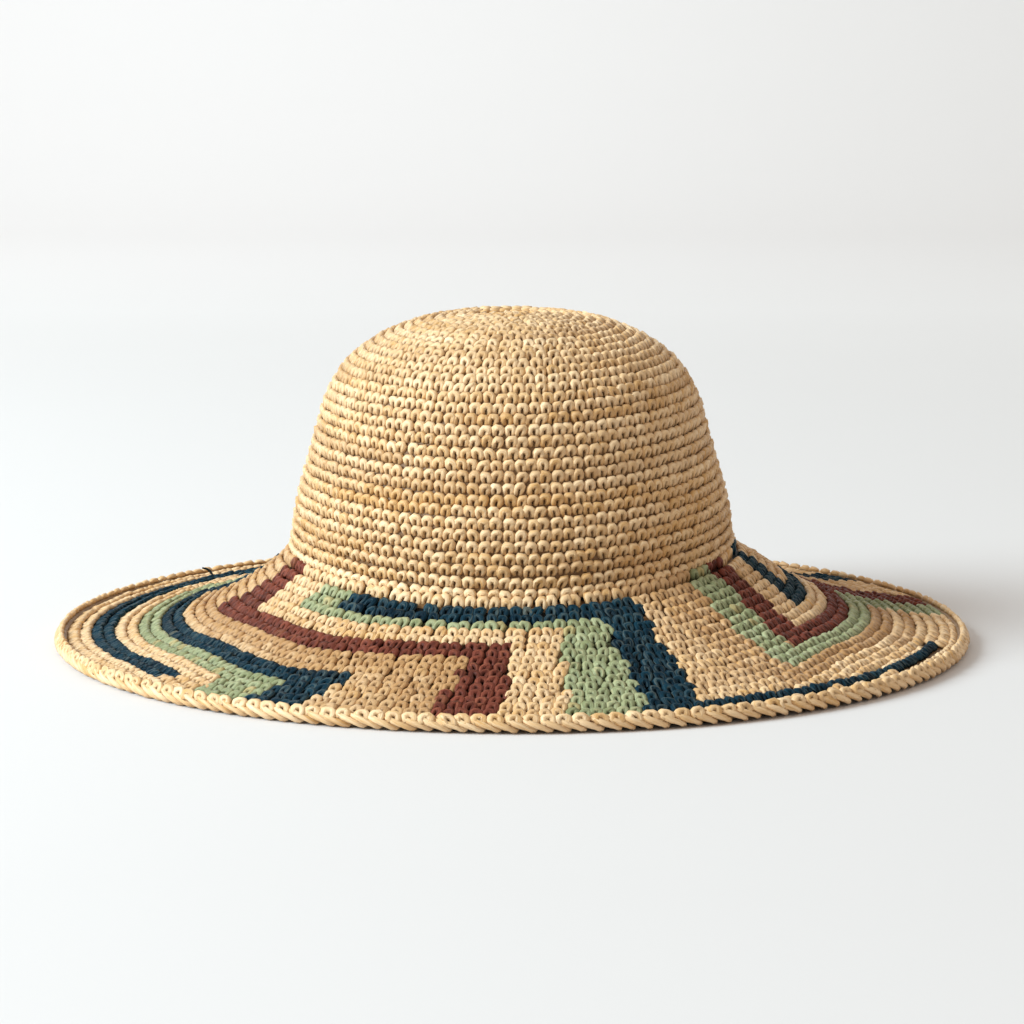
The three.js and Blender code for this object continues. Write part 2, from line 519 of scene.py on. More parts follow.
def laid(unit, at, side, down, out, width, pitch, thick, lean, tone, warmth):
    """Lays one copy of a strand at each place, as rows of points."""
    local = unit["spots"]
    count, many = len(at), len(local)
    x = local[:, 0][None] * width[:, None] + np.tan(lean)[:, None] * unit["down"][None] * pitch[:, None]
    y = unit["down"][None] * pitch[:, None]
    z = local[:, 2][None] * thick[:, None] - unit["sink"][None]
    spots = at[:, None] + side[:, None] * x[..., None] + down[:, None] * y[..., None]
    spots = (spots + out[:, None] * z[..., None]).reshape(-1, 3)
    spots = spots + rng.normal(0, UNEVENNESS, spots.shape)
    offset = rng.uniform(0, FIBRE_OFFSET, (count, 1))
    fibre = np.stack(
        [
            FIBRE_REACH * np.cos(unit["around"])[None] + offset,
            FIBRE_REACH * np.sin(unit["around"])[None] + offset * 0,
            FIBRE_RUN * unit["along"][None] * np.ones((count, 1)) + offset * FIBRE_SLANT,
        ],
        -1,
    ).reshape(-1, 3)
    # painted shade: darker the deeper a point lies below the face, and in the slot and creases
    deep = np.maximum(np.clip((-z - SHADE_FROM) / SHADE_OVER, 0, 1), unit["crease"][None])
    straw = np.stack([np.repeat(tone, many), np.repeat(warmth, many), deep.ravel()], -1)
    first = np.arange(count) * many
    faces = []
    for face in unit["faces"]:
        faces.extend((first[:, None] + np.array(face)[None]).tolist())
    return {"spots": spots, "faces": faces, "fibre": fibre, "straw": straw}


# A length of straw works from this many stitches up to as many
SHORTEST_STRAW = 5
LONGEST_STRAW = 30


def shaded(count, level, by_straw, by_stitch):
    """Shades of a round's stitches: each length of straw has its own, and so has each stitch."""
    lengths = rng.integers(SHORTEST_STRAW, LONGEST_STRAW, count)
    shades = rng.normal(0, by_straw, count)
    return level + np.repeat(shades, lengths)[:count] + rng.normal(0, by_stitch, count)


# Mean and spread of a stitch's width, pitch and thickness, and of its lean in degrees
CROWN_SPREADS = {"width": (1.05, 0.05), "pitch": (1, 0.05), "thickness": (1, 0.07), "lean": (-4, 5)}
BRIM_SPREADS = {"width": (1.04, 0.05), "pitch": (1, 0.04), "thickness": (1, 0.07), "lean": (-3, 6)}
KNOB_SPREADS = {"width": (0.98, 0.04), "pitch": (1, 0.06), "thickness": (1, 0.06), "lean": (10, 7)}


def varied(spreads, width, pitch, thickness, count):
    """Widths, pitches, thicknesses and leans of stitches, each a little off the even one."""
    return [
        width * rng.normal(*spreads["width"], count),
        pitch * rng.normal(*spreads["pitch"], count),
        thickness * rng.normal(*spreads["thickness"], count),
        rng.normal(*np.radians(spreads["lean"]), count),
    ]


def lay_round(units, places, columns):
    """Shares one group of places among the kinds of stitch."""
    kind = rng.integers(0, len(units), len(places[0]))
    parts = []
    for number, unit in enumerate(units):
        chosen = kind == number
        if chosen.any():
            parts.append(laid(unit, *[p[chosen] for p in places], *[c[chosen] for c in columns]))
    return parts


# Straw finishes. Every dye shares one straw: fibres along the strand, a tone of its own for each
# stitch, and painted shade where it dips into the work.
STREAK = 2.4
STREAK_GRAIN = {"scale": 0.5, "detail": 4, "roughness": 0.62}
CLOUD_GRAIN = {"scale": 0.16, "detail": 2, "roughness": 0.5}
WARM_STREAK = 0.5
SHADE_EDGE = 1.3
SMOOTHEST = 0.34
ROUGHER = 0.3
RELIEF = 1.0
RELIEF_DEPTH = 0.4 * MM
SHEEN_SHARE = 0.1


def new_group(name, inputs, outputs):
    group = bpy.data.node_groups.new(name, "ShaderNodeTree")
    for title, kind, default in inputs:
        socket = group.interface.new_socket(title, in_out="INPUT", socket_type=kind)
        socket.default_value = default
    for title, kind in outputs:
        group.interface.new_socket(title, in_out="OUTPUT", socket_type=kind)
    start = group.nodes.new("NodeGroupInput")
    end = group.nodes.new("NodeGroupOutput")
    return group, start, end


def feed(group, value, socket):
    """Links a socket to another one, or sets it to a number or colour."""
    if isinstance(value, bpy.types.NodeSocket):
        group.links.new(value, socket)
    else:
        socket.default_value = value


def add_mix(group, low, high, share):
    """Mixes two colours."""
    mix = group.nodes.new("ShaderNodeMix")
    mix.data_type = "RGBA"
    low_socket, high_socket = [s for s in mix.inputs if s.name in ("A", "B") and s.type == "RGBA"]
    share_socket = [s for s in mix.inputs if s.name == "Factor" and s.type == "VALUE"][0]
    feed(group, low, low_socket)
    feed(group, high, high_socket)
    feed(group, share, share_socket)
    return [s for s in mix.outputs if s.type == "RGBA"][0]


def add_math(group, operation, *values, clamp=False):
    node = group.nodes.new("ShaderNodeMath")
    node.operation = operation
    node.use_clamp = clamp
    for socket, value in zip(node.inputs, values):
        feed(group, value, socket)
    return node.outputs[0]


def add_noise(group, vector, scale, detail, roughness):
    noise = group.nodes.new("ShaderNodeTexNoise")
    noise.inputs["Scale"].default_value = scale
    noise.inputs["Detail"].default_value = detail
    noise.inputs["Roughness"].default_value = roughness
    group.links.new(vector, noise.inputs["Vector"])
    return noise.outputs["Fac"]


def straw_group():
    """The straw that all dyes share: its colour with painted shade where it lies deep, its roughness and the
    height of its fibres.
    """
    group, start, end = new_group(
        "straw",
        [
            ("Pale", "NodeSocketColor", (0.8, 0.6, 0.36, 1)),
            ("Deep", "NodeSocketColor", (0.5, 0.3, 0.14, 1)),
            ("Warm", "NodeSocketColor", (0.45, 0.25, 0.11, 1)),
            ("Shade", "NodeSocketColor", (0.12, 0.06, 0.02, 1)),
            ("Streak", "NodeSocketFloat", STREAK),
        ],
        [("Color", "NodeSocketColor"), ("Roughness", "NodeSocketFloat"), ("Height", "NodeSocketFloat")],
    )
    fibre = group.nodes.new("ShaderNodeAttribute")
    fibre.attribute_name = "fibre"
    straw = group.nodes.new("ShaderNodeAttribute")
    straw.attribute_name = "straw"
    parts = group.nodes.new("ShaderNodeSeparateXYZ")
    group.links.new(straw.outputs["Vector"], parts.inputs[0])
    tone, warmth, deep = parts.outputs
    streak = add_noise(group, fibre.outputs["Vector"], **STREAK_GRAIN)
    cloud = add_noise(group, fibre.outputs["Vector"], **CLOUD_GRAIN)
    streak_share = add_math(group, "SUBTRACT", streak, 0.5)
    streak_share = add_math(group, "MULTIPLY", streak_share, start.outputs["Streak"])
    cloud_share = add_math(group, "SUBTRACT", cloud, 0.5)
    share = add_math(group, "ADD", tone, streak_share)
    share = add_math(group, "ADD", share, cloud_share, clamp=True)
    colour = add_mix(group, start.outputs["Deep"], start.outputs["Pale"], share)
    warm_streak = add_math(group, "MULTIPLY_ADD", streak_share, WARM_STREAK, warmth, clamp=True)
    colour = add_mix(group, colour, start.outputs["Warm"], warm_streak)
    # painted shade: the colour mixes towards the shade colour by the depth
    dip = add_math(group, "POWER", deep, SHADE_EDGE, clamp=True)
    colour = add_mix(group, colour, start.outputs["Shade"], dip)
    group.links.new(colour, end.inputs["Color"])
    rough = add_math(group, "MULTIPLY_ADD", streak, ROUGHER, SMOOTHEST)
    group.links.new(rough, end.inputs["Roughness"])
    group.links.new(add_math(group, "ADD", streak, cloud_share), end.inputs["Height"])
    return group


straw = straw_group()


def straw_finish(dye, pale, deep, warm, shade_colour, gloss):
    """One dye of straw."""
    material = bpy.data.materials.new(dye + "_straw")
    material.use_nodes = True
    nodes, links = material.node_tree.nodes, material.node_tree.links
    shader = nodes["Principled BSDF"]
    shader.inputs["Specular IOR Level"].default_value = gloss
    shader.inputs["Sheen Weight"].default_value = gloss * SHEEN_SHARE
    group = nodes.new("ShaderNodeGroup")
    group.node_tree = straw
    for title, value in (("Pale", pale), ("Deep", deep), ("Warm", warm), ("Shade", shade_colour)):
        group.inputs[title].default_value = (*value, 1)
    group.inputs["Streak"].default_value = STREAK
    bump = nodes.new("ShaderNodeBump")
    bump.inputs["Strength"].default_value = RELIEF
    bump.inputs["Distance"].default_value = RELIEF_DEPTH
    links.new(group.outputs["Height"], bump.inputs["Height"])
    links.new(group.outputs["Color"], shader.inputs["Base Color"])
    links.new(group.outputs["Roughness"], shader.inputs["Roughness"])
    links.new(bump.outputs["Normal"], shader.inputs["Normal"])
    return material


# dye, then the straw's pale, deep and warm colours, the colour of its painted shade, and its gloss
STRAWS = [
    ("natural", (0.96, 0.70, 0.425), (0.66, 0.372, 0.135), (0.46, 0.24, 0.09), (0.17, 0.08, 0.022), 0.42),
    ("navy", (0.007, 0.047, 0.074), (0.002, 0.012, 0.022), (0.34, 0.32, 0.22), (0.001, 0.003, 0.006), 0.06),
    ("sage", (0.42, 0.445, 0.255), (0.22, 0.24, 0.11), (0.60, 0.38, 0.13), (0.05, 0.055, 0.02), 0.25),
    ("burgundy", (0.235, 0.055, 0.032), (0.08, 0.017, 0.01), (0.34, 0.15, 0.07), (0.03, 0.007, 0.004), 0.13),
]
finishes = {row[0]: straw_finish(*row) for row in STRAWS}


def spread_round(count, shift, unevenness):
    """Bearings of a round's stitches: the shift fades out towards the back, where rounds meet."""
    even = (np.arange(count) + rng.normal(0.5, unevenness, count)) * 360 / count - 180
    return wrapped(even + shift * (1 - (even / 180) ** 2))


# The crown's rounds, spiralling out from the middle of the top
CROWN_UNEVENNESS = 0.055
CROWN_WAVE = 0.035
CROWN_LIFT = 0.12
TOP_SHARE = 0.001


def crown_share(bearing, count):
    """Share of the crown's length that lies above a count of rounds."""
    length = np.interp(wrapped(bearing), TURNS, crown_length)
    return count / CROWN_ROUNDS * (1 - CROWN_SKIRT / length)


def crown_rounds():
    """Lays every round of the crown, and returns the upper ones and the lower ones."""
    upper, lower = [], []
    for number in range(CROWN_ROUNDS):
        middle = crown_face(0.0, float(crown_share(0.0, number + 0.5)))
        radius = math.hypot(middle[0], middle[1])
        count = max(FEWEST_STITCHES, round(2 * math.pi * radius / STITCH_WIDTH))
        shift = rng.uniform(-0.5, 0.5) * 360 / count
        bearing = spread_round(count, shift, CROWN_UNEVENNESS)
        top = number - bearing / 360 + rng.normal(0, CROWN_WAVE, count)
        share = np.maximum(crown_share(bearing, top), TOP_SHARE)
        feel = ROUND_FEEL / CROWN_ROUNDS
        at, side, down, out = frames_on(crown_face, bearing, share, CROWN_SIDE_FEEL, feel, 0)
        at = at + out * rng.normal(0, CROWN_LIFT, count)[:, None]
        width = 2 * math.pi * radius / count
        pitch = np.interp(bearing, TURNS, crown_length) / CROWN_ROUNDS
        sizes = varied(CROWN_SPREADS, width, pitch, CROWN_THICKNESS, count)
        tone = shaded(count, level=0.55, by_straw=0.15, by_stitch=0.1)
        warmth = np.clip(shaded(count, level=0.12, by_straw=0.17, by_stitch=0.05), 0, 1)
        group = upper if number < UPPER_ROUNDS else lower
        group += lay_round(crown_stitches, [at, side, down, out], [*sizes, tone, warmth])
    return upper, lower


# The brim's rounds go on from the crown's
BRIM_UNEVENNESS = 0.1
BRIM_WAVE = 0.04
BRIM_LIFT = 0.16
STITCH_TOP = 0.6

# Mean and spread of the warmth of plain natural straw, and how much caramel straw differs
PLAIN_WARMTH = (0.14, 0.09)
CARAMEL_SPREAD = 0.14

# How many of a dye's stitches show some natural straw, and how much
FLECKS = {"navy": (0.015, 0.3), "burgundy": (0.015, 0.3), "sage": (0.04, 0.4)}


def brim_stitches_at(bearing, middle, count):
    """Places and sizes of brim stitches whose tops lie at a count of rounds out from the crown."""
    rounds = brim_rounds(bearing)
    many = len(bearing)
    share = (middle + rng.normal(0, BRIM_WAVE, many)) / rounds
    at, side, down, out = frames_on(brim_face, bearing, share, BRIM_SIDE_FEEL, ROUND_FEEL / rounds, 0)
    past_edge = np.maximum(middle + 0.5 - rounds, 0)
    at = at + out * (rng.normal(0, BRIM_LIFT, many) - EDGE_DIP * past_edge)[:, None]
    width = 2 * math.pi * np.hypot(at[:, 0], at[:, 1]) / count
    pitch = np.interp(bearing, TURNS, brim_length) / rounds * np.maximum(1 - past_edge, SHORTEST_STITCH)
    return [at, side, down, out], varied(BRIM_SPREADS, width, pitch, BRIM_THICKNESS, many)


def brim_row(number):
    """Bearings and middles of one round's stitches, and how many a whole round has."""
    mean_out = JOIN_RADIUS + (number + 0.5) / MEAN_ROUNDS * (BRIM_EDGE_RADIUS - JOIN_RADIUS)
    count = 2 * round(math.pi * mean_out / BRIM_STITCH_WIDTH)
    bearing = spread_round(count, -COLUMN_DRIFT * number, BRIM_UNEVENNESS)
    middle = number + FIRST_ROUND - bearing / 360 - STITCH_TOP
    to_edge = brim_rounds(bearing) - middle - 0.5
    past_line = to_edge - np.interp(bearing, line_bearings, line_depths)
    under_line = (past_line > LINE_CLEAR[0]) & (past_line < LINE_CLEAR[1])
    under_line &= (bearing > line_bearings[0]) & (bearing < line_bearings[-1])
    kept = (to_edge > -EDGE_OVERHANG) & ~under_line
    return bearing[kept], middle[kept], count


def brim_warmth(bearing, number, dyes):
    """How warm each stitch of a round is: caramel, plain natural, or flecked where it is dyed."""
    many = len(bearing)
    warmth = np.array([caramel_of(b, number) for b in bearing])
    caramel = warmth + rng.normal(0, CARAMEL_SPREAD, many)
    warmth = np.where(warmth > 0, caramel, rng.normal(*PLAIN_WARMTH, many))
    fleck = rng.random(many)
    for dye, (share, strength) in FLECKS.items():
        warmth = np.where(dyes == dye, (fleck < share) * strength, warmth)
    return warmth.clip(0, 1)


def lay_line():
    """The single navy line that follows the rope."""
    count = round(2 * math.pi * BRIM_EDGE_RADIUS / BRIM_STITCH_WIDTH)
    bearing = np.arange(line_bearings[0], line_bearings[-1], 360 / count)
    middle = brim_rounds(bearing) - np.interp(bearing, line_bearings, line_depths) - 0.5
    places, sizes = brim_stitches_at(bearing, middle, count)
    at, side, down, out = places
    width, pitch, thickness, lean = sizes
    tone = rng.normal(*LINE_TONE, len(bearing))
    columns = [width, pitch * LINE_PITCH, thickness, lean, tone, tone * 0]
    return lay_round(brim_stitches, [at + out * LINE_RAISED, side, down, out], columns)


def brim_rounds_laid():
    """Lays every round of the brim, sorted by dye."""
    groups = {"natural": [], "outer_natural": [], "navy": [], "sage": [], "burgundy": []}
    for number in range(int(SIDE_ROUNDS) + 2):
        bearing, middle, count = brim_row(number)
        places, sizes = brim_stitches_at(bearing, middle, count)
        dyes = np.array([dye_of(b, number) for b in bearing])
        warmth = brim_warmth(bearing, number, dyes)
        tone = shaded(len(bearing), level=0.5, by_straw=0.1, by_stitch=0.11)
        for dye in finishes:
            chosen = dyes == dye
            if not chosen.any():
                continue
            name = "outer_natural" if dye == "natural" and number >= INNER_ROUNDS else dye
            columns = [column[chosen] for column in (*sizes, tone, warmth)]
            groups[name] += lay_round(brim_stitches, [place[chosen] for place in places], columns)
    groups["navy"] += lay_line()
    return groups


upper, lower = crown_rounds()
piece_from("crown_top_stitches", upper, finishes["natural"], "crown_top")
piece_from("crown_side_stitches", lower, finishes["natural"], "crown_side")
for name, parts in brim_rounds_laid().items():
    dye = "natural" if "natural" in name else name
    piece_from("brim_" + name + "_stitches", parts, finishes[dye], "brim")


# Walls behind the stitches: closed shells whose outer side is all painted shade, showing dark between the
# stitches, with the wrong side inside
WALL_DEPTH = 2.5
LINING_DEPTH = WALL - 0.2
RIB_RELIEF = 0.6
CROWN_COLUMNS = 200
BRIM_COLUMNS = 300

# Rings to each round on the wrong side, where the rounds show as ribs
CROWN_RINGS = 3
BRIM_RINGS = 4

# Shares where the walls begin and end, and how the crown's rings are drawn before they are moved
WALL_TOP_SHARE = 0.008
BRIM_WALL_END = 1.03
SMALLEST_RING = 0.8
TOP_DRAW = 0.3

# Looks of the wrong side: middle value of the straw's tone and of its painted shade, which is darker in the
# grooves between the ribs, how far the ribs move each, and how fine its fibres are
LINING_TONE = (0.42, 0.1)
LINING_SHADE = (0.2, 0.2)
LINING_FIBRE = 1.5


def drawn_wall(name, columns, profile, closes):
    """Draws a round wall ring by ring, from radius and height pairs."""
    deselect_all()
    radius, height = profile[0]
    bpy.ops.mesh.primitive_circle_add(vertices=columns, radius=radius, location=(0, 0, height))
    wall = bpy.context.active_object
    wall.name = name
    bpy.ops.object.mode_set(mode="EDIT")
    bpy.ops.mesh.select_mode(type="VERT")
    bpy.ops.mesh.select_all(action="SELECT")
    for next_radius, next_height in profile[1:]:
        bpy.ops.mesh.extrude_edges_move(TRANSFORM_OT_translate={"value": (0, 0, next_height - height)})
        swell = next_radius / radius
        bpy.ops.transform.resize(value=(swell, swell, 1), center_override=(0, 0, next_height))
        radius, height = next_radius, next_height
    bpy.ops.mesh.select_all(action="DESELECT")
    bpy.ops.mesh.select_non_manifold()
    if closes == "caps":
        bpy.ops.mesh.fill_holes(sides=0)
    else:
        bpy.ops.mesh.bridge_edge_loops()
    bpy.ops.mesh.select_all(action="SELECT")
    bpy.ops.mesh.normals_make_consistent(inside=False)
    bpy.ops.object.mode_set(mode="OBJECT")
    bpy.ops.object.transform_apply(location=True, rotation=True, scale=True)
    return wall


def work_wall(wall, columns, face, ways, depths, side_feel, down_feel, rounds_at):
    """Moves a wall's rings onto the face at their depths and gives it the ribs of the rounds."""
    mesh = wall.data
    spots = np.empty(len(mesh.vertices) * 3)
    mesh.vertices.foreach_get("co", spots)
    spots = spots.reshape(-1, 3)
    bearing = np.degrees(np.arctan2(spots[:, 0], -spots[:, 1]))
    ring = np.arange(len(spots)) // columns
    way, depth = ways[ring], depths[ring]
    at, side, down, out = frames_on(face, bearing, way, side_feel, down_feel, down_feel)
    wave = np.cos(2 * np.pi * rounds_at(bearing, way))
    inside = depth > WALL_DEPTH
    rib = np.where(inside, -RIB_RELIEF / 2 * wave, 0)
    spots = (at - out * (depth + rib)[:, None]) * MM
    mesh.vertices.foreach_set("co", spots.ravel())
    tone = LINING_TONE[0] + LINING_TONE[1] * wave
    # painted shade: the outer side is full shade, and the wrong side is darker in the grooves between its
    # ribs
    deep = np.where(inside, LINING_SHADE[0] + LINING_SHADE[1] * wave, 1.0)
    store_straw(mesh, spots / MM * LINING_FIBRE, np.stack([tone, bearing * 0, deep], -1))
    mesh.shade_smooth()
    mesh.update()


def wall_line(lining_shares, outer_shares):
    """Shares and depths of a wall's rings: the wrong side first, and then the outer side back."""
    ways = np.r_[lining_shares, outer_shares]
    depths = np.r_[np.full(len(lining_shares), LINING_DEPTH), np.full(len(outer_shares), WALL_DEPTH)]
    return ways, depths


def crown_count(bearing, share):
    """Rounds of the crown that lie above a point."""
    return share * CROWN_ROUNDS + bearing / 360


def brim_count(bearing, share):
    """Rounds of the brim that lie between the crown and a point."""
    return share * brim_rounds(bearing) + bearing / 360 - FIRST_ROUND


# Crown wall: lining side from the top down, then the outer side back up
crown_ways, crown_depths = wall_line(
    np.linspace(WALL_TOP_SHARE, 1, CROWN_ROUNDS * CROWN_RINGS),
    np.linspace(1, WALL_TOP_SHARE, CROWN_ROUNDS),
)
crown_radii = np.interp(crown_ways * crown_run[-1], crown_run, crown_line[:, 0]) - crown_depths * TOP_DRAW
crown_heights = np.interp(crown_ways * crown_run[-1], crown_run, crown_line[:, 1]) - crown_depths
crown_rings = [(max(r, SMALLEST_RING) * MM, h * MM) for r, h in zip(crown_radii, crown_heights)]
crown_wall = drawn_wall("crown_wall", CROWN_COLUMNS, crown_rings, "caps")
work_wall(
    crown_wall,
    CROWN_COLUMNS,
    crown_face,
    crown_ways,
    crown_depths,
    CROWN_SIDE_FEEL,
    CROWN_WALL_FEEL,
    crown_count,
)
crown_wall.data.materials.append(finishes["natural"])
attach(crown_wall, "root")
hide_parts("crown_top", "crown_side")

# Brim wall: underside from the crown out, then the upper side back in
brim_ways, brim_depths = wall_line(
    np.linspace(0, BRIM_WALL_END, int(SIDE_ROUNDS * BRIM_RINGS)),
    np.linspace(BRIM_WALL_END, 0, int(SIDE_ROUNDS)),
)
brim_radii = JOIN_RADIUS + brim_ways * (BRIM_EDGE_RADIUS - JOIN_RADIUS)
brim_heights = np.interp(brim_radii, brim_line[:, 0], brim_line[:, 2]) - brim_depths
brim_rings = [(r * MM, h * MM) for r, h in zip(brim_radii, brim_heights)]
brim_wall = drawn_wall("brim_wall", BRIM_COLUMNS, brim_rings, "bridge")
work_wall(
    brim_wall,
    BRIM_COLUMNS,
    brim_face,
    brim_ways,
    brim_depths,
    BRIM_SIDE_FEEL,
    BRIM_WALL_FEEL,
    brim_count,
)
dyes = list(finishes)
for dye in dyes:
    brim_wall.data.materials.append(finishes[dye])
for polygon in brim_wall.data.polygons:
    corners = np.array([brim_wall.data.vertices[v].co for v in polygon.vertices]) / MM
    middle = corners.mean(0)
    bearing = math.degrees(math.atan2(middle[0], -middle[1]))
    reach = math.hypot(middle[0], middle[1])
    outs = brim_outs[int(round(bearing)) + 180]
    share = float(np.interp(reach, outs, SHARES))
    number = round(float(brim_count(bearing, share)))
    polygon.material_index = dyes.index(dye_of(bearing, number))
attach(brim_wall, "root")
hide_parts("brim")


# Rope edge: fat strands that slant down over the edge, and a row of knobs that holds them
ROPE_UNITS = 192
ROPE_ROLL = 2.6
ROPE_SIDES = 7
ROPE_UNEVENNESS = 0.05
KNOB_SLOPE = 34
KNOB_RADIUS = 191.0
KNOB_HEIGHT = 8.1
KNOB_PITCH = 4.0
KNOB_THICKNESS = 4.0

# Mean and spread along the rope of the strands' place, tone, warmth, size and turn round it
UNIT_PLACE = (0, 0.06)
ROPE_TONE = (0.5, 0.13)
ROPE_WARMTH = (0.06, 0.08)
ROPE_SWELL = (0.97, 0.03)
ROPE_TURN = (0, 0.06)

# Reach from the rope's middle inside which a strand starts to get painted shade, and how fast it gets to
# full shade
ROPE_SHADE_FROM = 2.3
ROPE_SHADE_OVER = 1.9

# along the edge, degrees round the rope from its outer side up, reach from its middle, girth
ROPE_STRAND = [
    (-4.2, 100, 1.0, 0.8),
    (-3.2, 74, 1.4, 1.1),
    (-1.8, 48, 1.75, 1.3),
    (0.1, 24, 1.95, 1.45),
    (2.3, 3, 2.0, 1.5),
    (4.5, -20, 2.0, 1.5),
    (6.3, -46, 2.0, 1.45),
    (7.5, -76, 2.1, 1.35),
    (8.2, -112, 2.0, 1.1),
    (8.6, -155, 1.4, 0.8),
]


def rope_strand():
    """One strand of the rope, drawn flat: it is rolled round the edge when it is laid."""
    alongs, turns, reaches, girths = zip(*ROPE_STRAND)
    path = [(along, math.radians(turn) * ROPE_ROLL) for along, turn in zip(alongs, turns)]
    unit = drawn_strand("rope_strand", path, girths, ROPE_SIDES)
    centres = np.array(path)
    nearest = np.linalg.norm(unit["spots"][:, None, :2] - centres[None], axis=2).argmin(1)
    unit["spots"][:, 2] += np.array(reaches)[nearest]
    return unit


def round_the_edge(spots, start, swell, roll):
    """Rolls a strand drawn flat round the rope's middle line."""
    turn = spots[:, 1] / ROPE_ROLL + roll
    reach = spots[:, 2] * swell
    angle = (start + spots[:, 0]) / CORD_RADIUS
    out = CORD_RADIUS + reach * np.cos(turn)
    height = CORD_HALF + reach * np.sin(turn)
    return np.stack([out * np.sin(angle), -out * np.cos(angle), height], -1)


def wind_rope():
    """Lays the rope's strands side by side all the way round."""
    unit = rope_strand()
    local = unit["spots"]
    # painted shade: darker towards the rope's middle, between the strands
    deep = np.clip((ROPE_SHADE_FROM - local[:, 2]) / ROPE_SHADE_OVER, 0, 1)
    parts = []
    for number in range(ROPE_UNITS):
        start = (number + rng.normal(*UNIT_PLACE)) * 2 * math.pi * CORD_RADIUS / ROPE_UNITS
        offset = rng.uniform(0, FIBRE_OFFSET)
        fibre = [
            FIBRE_REACH * np.cos(unit["around"]) + offset,
            FIBRE_REACH * np.sin(unit["around"]),
            unit["along"] / STITCH_WIDTH * FIBRE_RUN,
        ]
        tone = np.full(len(local), rng.normal(*ROPE_TONE))
        warmth = np.full(len(local), np.clip(rng.normal(*ROPE_WARMTH), 0, 1))
        swell = min(rng.normal(*ROPE_SWELL), 1.0)
        spots = round_the_edge(local, start, swell, rng.normal(*ROPE_TURN))
        parts.append(
            {
                "spots": spots + rng.normal(0, ROPE_UNEVENNESS, spots.shape),
                "faces": [list(face) for face in unit["faces"]],
                "fibre": np.stack(fibre, -1),
                "straw": np.stack([tone, warmth, deep], -1),
            }
        )
    return parts


def tie_rope():
    """Lays the knobs on the rope's shoulder, half over its outer side."""
    turn = (np.arange(ROPE_UNITS) + rng.normal(*UNIT_PLACE, ROPE_UNITS)) * 2 * math.pi / ROPE_UNITS
    spread = np.stack([np.sin(turn), -np.cos(turn), turn * 0], -1)
    side = np.stack([np.cos(turn), np.sin(turn), turn * 0], -1)
    slope = math.radians(KNOB_SLOPE)
    down = spread * math.cos(slope) - np.array([0, 0, math.sin(slope)])
    out = np.cross(down, side)
    at = spread * KNOB_RADIUS + np.array([0, 0, KNOB_HEIGHT])
    width = 2 * math.pi * CORD_RADIUS / ROPE_UNITS
    sizes = varied(KNOB_SPREADS, width, KNOB_PITCH, KNOB_THICKNESS, ROPE_UNITS)
    tone = rng.normal(*ROPE_TONE, ROPE_UNITS)
    warmth = np.clip(rng.normal(*ROPE_WARMTH, ROPE_UNITS), 0, 1)
    return lay_round(brim_stitches, [at, side, down, out], [*sizes, tone, warmth])


piece_from("edge_rope", wind_rope(), finishes["natural"], "edge_cord")
piece_from("edge_knobs", tie_rope(), finishes["natural"], "edge_cord")


# The heart of the rope, painted dark as shade, seen only between its strands
HEART_RADIUS = CORD_RADIUS - 0.4
HEART_GIRTH = 1.9
HEART_SHADED_STRAW = [0.3, 0.1, 0.9]


def rope_heart():
    """Puts the heart, painted as shade, in the middle of the rope."""
    deselect_all()
    bpy.ops.mesh.primitive_torus_add(
        major_segments=180,
        minor_segments=8,
        major_radius=HEART_RADIUS * MM,
        minor_radius=HEART_GIRTH * MM,
        location=(0, 0, CORD_HALF * MM),
    )
    heart = bpy.context.active_object
    heart.name = "edge_shaded_heart"
    bpy.ops.object.transform_apply(location=True, rotation=True, scale=True)
    count = len(heart.data.vertices)
    spots = np.empty(count * 3)
    heart.data.vertices.foreach_get("co", spots)
    store_straw(heart.data, spots / MM, np.tile(HEART_SHADED_STRAW, count))
    heart.data.shade_smooth()
    heart.data.materials.append(finishes["natural"])
    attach(heart, "root")
    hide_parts("edge_cord")


rope_heart()

# A loose end of navy straw at the back left of the brim: it stands up from the work
LOOSE_END = [(0, -2, 0.55), (0.3, 0.2, 0.6), (1.4, 1.6, 0.55), (3.4, 2.6, 0.45), (6.2, 3.6, 0.3)]
LOOSE_BEARING = -128.5
LOOSE_SHARE = 0.93


def loose_end():
    """Lays the one strand on end, so that it points out of the work."""
    unit = drawn_strand("loose_end", [(x, y) for x, y, girth in LOOSE_END], [row[2] for row in LOOSE_END])
    unit["down"] = -unit["spots"][:, 1]
    unit["sink"] = unit["crease"] = unit["down"] * 0
    bearing, share = np.array([LOOSE_BEARING]), np.array([LOOSE_SHARE])
    feel = BRIM_WALL_FEEL
    at, side, down, out = frames_on(brim_face, bearing, share, BRIM_SIDE_FEEL, feel, feel)
    size, upright = np.ones(1), np.zeros(1)
    tone, warmth = np.full(1, 0.5), np.zeros(1)
    return laid(unit, at, side, -out, down, size, size, size, upright, tone, warmth)


piece_from("loose_navy_end", [loose_end()], finishes["navy"], "brim")


# Stage: a pale table top that runs up into the wall behind, in metres
FLOOR_SIZE = 12
FLOOR_MIDDLE = -2.6
BEND_STEPS = 8
BEND_STEP = 0.24
WALL_RISE = 4
# painted light and shade: the paper runs from a darker colour near the hat to a paler one farther back,
# standing in for how the lamps light it
NEAR_PAPER = (0.69, 0.656, 0.643, 1)
FAR_PAPER = (0.85, 0.84, 0.835, 1)
FAR_SHARE_PER_METRE = 0.45
FAR_SHARE_AT_HAT = 0.15
PAPER_GRAIN = 0.06
PAPER_GRAIN_SCALE = 3
PAPER_ROUGHNESS = 0.85


